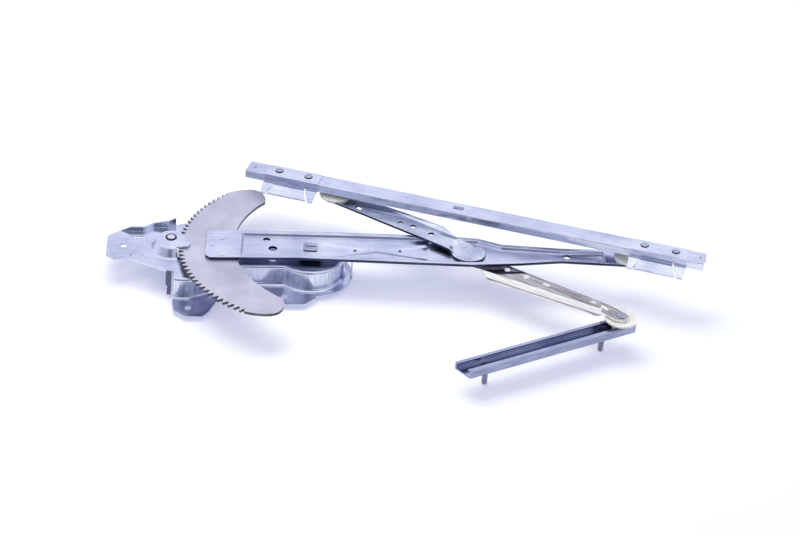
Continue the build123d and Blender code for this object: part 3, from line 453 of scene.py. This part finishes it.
def make_upper_arm(material):
    """The upper equalizer arm, its flange's near end run out gently into the web by the centre pivot."""
    node = "upper_equalizer_arm"
    mesh = nodes[node].data.copy()
    centre = Vector(joint_place["equalizer_swing"][:2])
    along, across = [Vector((math.cos(angle), math.sin(angle), 0.0))
                     for angle in (math.radians(equalizer_turn + 180), math.radians(equalizer_turn + 270))]
    work = welded(mesh)
    full = centre + along.xy * flange_full * mm
    bmesh.ops.bisect_plane(work, geom=work.verts[:] + work.edges[:] + work.faces[:],
                           plane_co=(full.x, full.y, 0.0), plane_no=along)
    web_bottom = min(corner.co.z for corner in work.verts if (corner.co.xy - full).dot(along.xy) > 0)
    for corner in work.verts:
        reach = (corner.co.xy - centre).dot(along.xy) / mm
        side = (corner.co.xy - centre).dot(across.xy) / mm
        if side < -flange_fold and reach < flange_full - flange_margin:
            corner.co.z = web_bottom + (corner.co.z - web_bottom) * flange_end_share
            corner.co.xy += across.xy * (-flange_fold - side) * (1 - flange_end_share) * mm
    smooth(work)
    close(work, mesh)
    mesh.attributes.remove(mesh.attributes["custom_normal"])
    mesh.materials.clear()
    mesh.materials.append(material)
    keep(bpy.data.objects.new("upper_arm_sheet", mesh), node)


def thread_tree():
    """Geometry Nodes: a screw thread's ridges wound round two studs, added to the studs' own shape."""
    tree = bpy.data.node_groups.new("stud_thread", "GeometryNodeTree")
    face = tree.interface
    face.new_socket("Geometry", in_out="INPUT", socket_type="NodeSocketGeometry")
    for name, kind in (("Radius", "Float"), ("Pitch", "Float"), ("Turns", "Float"), ("Depth", "Float"),
                       ("First", "Vector"), ("Second", "Vector"), ("Finish", "Material")):
        face.new_socket(name, in_out="INPUT", socket_type="NodeSocket" + kind)
    face.new_socket("Geometry", in_out="OUTPUT", socket_type="NodeSocketGeometry")
    given = put(tree, "NodeGroupInput").outputs
    height = put(tree, "ShaderNodeMath", {0: given["Pitch"], 1: given["Turns"]}, operation="MULTIPLY")
    helix = put(tree, "GeometryNodeCurveSpiral",
                {"Rotations": given["Turns"], "Start Radius": given["Radius"], "End Radius": given["Radius"],
                 "Height": height.outputs[0]}, Resolution=thread_steps)
    ridge = put(tree, "GeometryNodeCurvePrimitiveCircle", {"Radius": given["Depth"]}, Resolution=ridge_sides)
    wound = put(tree, "GeometryNodeCurveToMesh", {"Curve": helix.outputs["Curve"],
                                                  "Profile Curve": ridge.outputs["Curve"]}, Fill_Caps=True)
    moved = [put(tree, "GeometryNodeTransform", {"Geometry": wound.outputs["Mesh"],
                                                 "Translation": given[name]}).outputs["Geometry"]
             for name in ("First", "Second")]
    joined = put(tree, "GeometryNodeJoinGeometry")
    for source in (*moved, given["Geometry"]):
        tree.links.new(source, joined.inputs["Geometry"])
    real = put(tree, "GeometryNodeRealizeInstances", {"Geometry": joined.outputs["Geometry"]})
    dressed = put(tree, "GeometryNodeSetMaterial", {"Geometry": real.outputs["Geometry"],
                                                    "Material": given["Finish"]})
    put(tree, "NodeGroupOutput", {"Geometry": dressed.outputs["Geometry"]})
    return tree


def threaded(mesh, values):
    """The mesh with its threads wound on."""
    rough = bpy.data.objects.new("studs_rough", mesh)
    link(rough)
    tree = thread_tree()
    modifier = rough.modifiers.new("thread", "NODES")
    modifier.node_group = tree
    for item in tree.interface.items_tree:
        if item.name in values:
            modifier[item.identifier] = values[item.name]
    bpy.context.view_layer.update()
    shape = bpy.data.meshes.new_from_object(rough.evaluated_get(bpy.context.evaluated_depsgraph_get()))
    bpy.data.objects.remove(rough)
    return shape


def make_threaded_studs(material):
    """The two studs of the guide rail, turned down to the root of their screw threads, with the threads."""
    node = "guide_rail_studs"
    mesh = nodes[node].data.copy()
    close(welded(mesh), mesh)
    mesh.attributes.remove(mesh.attributes["custom_normal"])
    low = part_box(node)[0].z
    places = [Vector(mount[name]["pos_m"]) for name in stud_mounts]
    root = mount["left_stud"]["dims"]["r_mm"] * mm - thread_depth * mm
    for corner in mesh.vertices:
        axis = min(places, key=lambda place: (corner.co.xy - place.xy).length)
        off = corner.co.xy - axis.xy
        if off.length > root and corner.co.z < low + thread_height * mm:
            corner.co.xy = axis.xy + off.normalized() * root
    first, second = [place.xy.to_3d() + Vector((0, 0, low + thread_pitch * mm)) for place in places]
    shape = threaded(mesh, {"Radius": root, "Pitch": thread_pitch * mm, "Turns": thread_turns,
                            "Depth": thread_depth * mm, "First": first, "Second": second, "Finish": material})
    work = bmesh.new()
    work.from_mesh(shape)
    bmesh.ops.recalc_face_normals(work, faces=work.faces)
    smooth(work)
    close(work, shape)
    keep(bpy.data.objects.new("threaded_studs", shape), node)


sheets = {name: plated_sheet(name, **finish) for name, finish in finishes.items()}
for finish_name, pieces in finished_in.items():
    dress(pieces, sheets[finish_name])
dress(["right_roller", "left_roller", "guide_roller"], moulded_nylon())
make_upper_arm(sheets["zinc_plated_equalizer"])
make_threaded_studs(sheets["turned_steel"])

make_camera()
make_floor()
make_world()
make_lamp()
bpy.context.scene.view_settings.view_transform = "Standard"
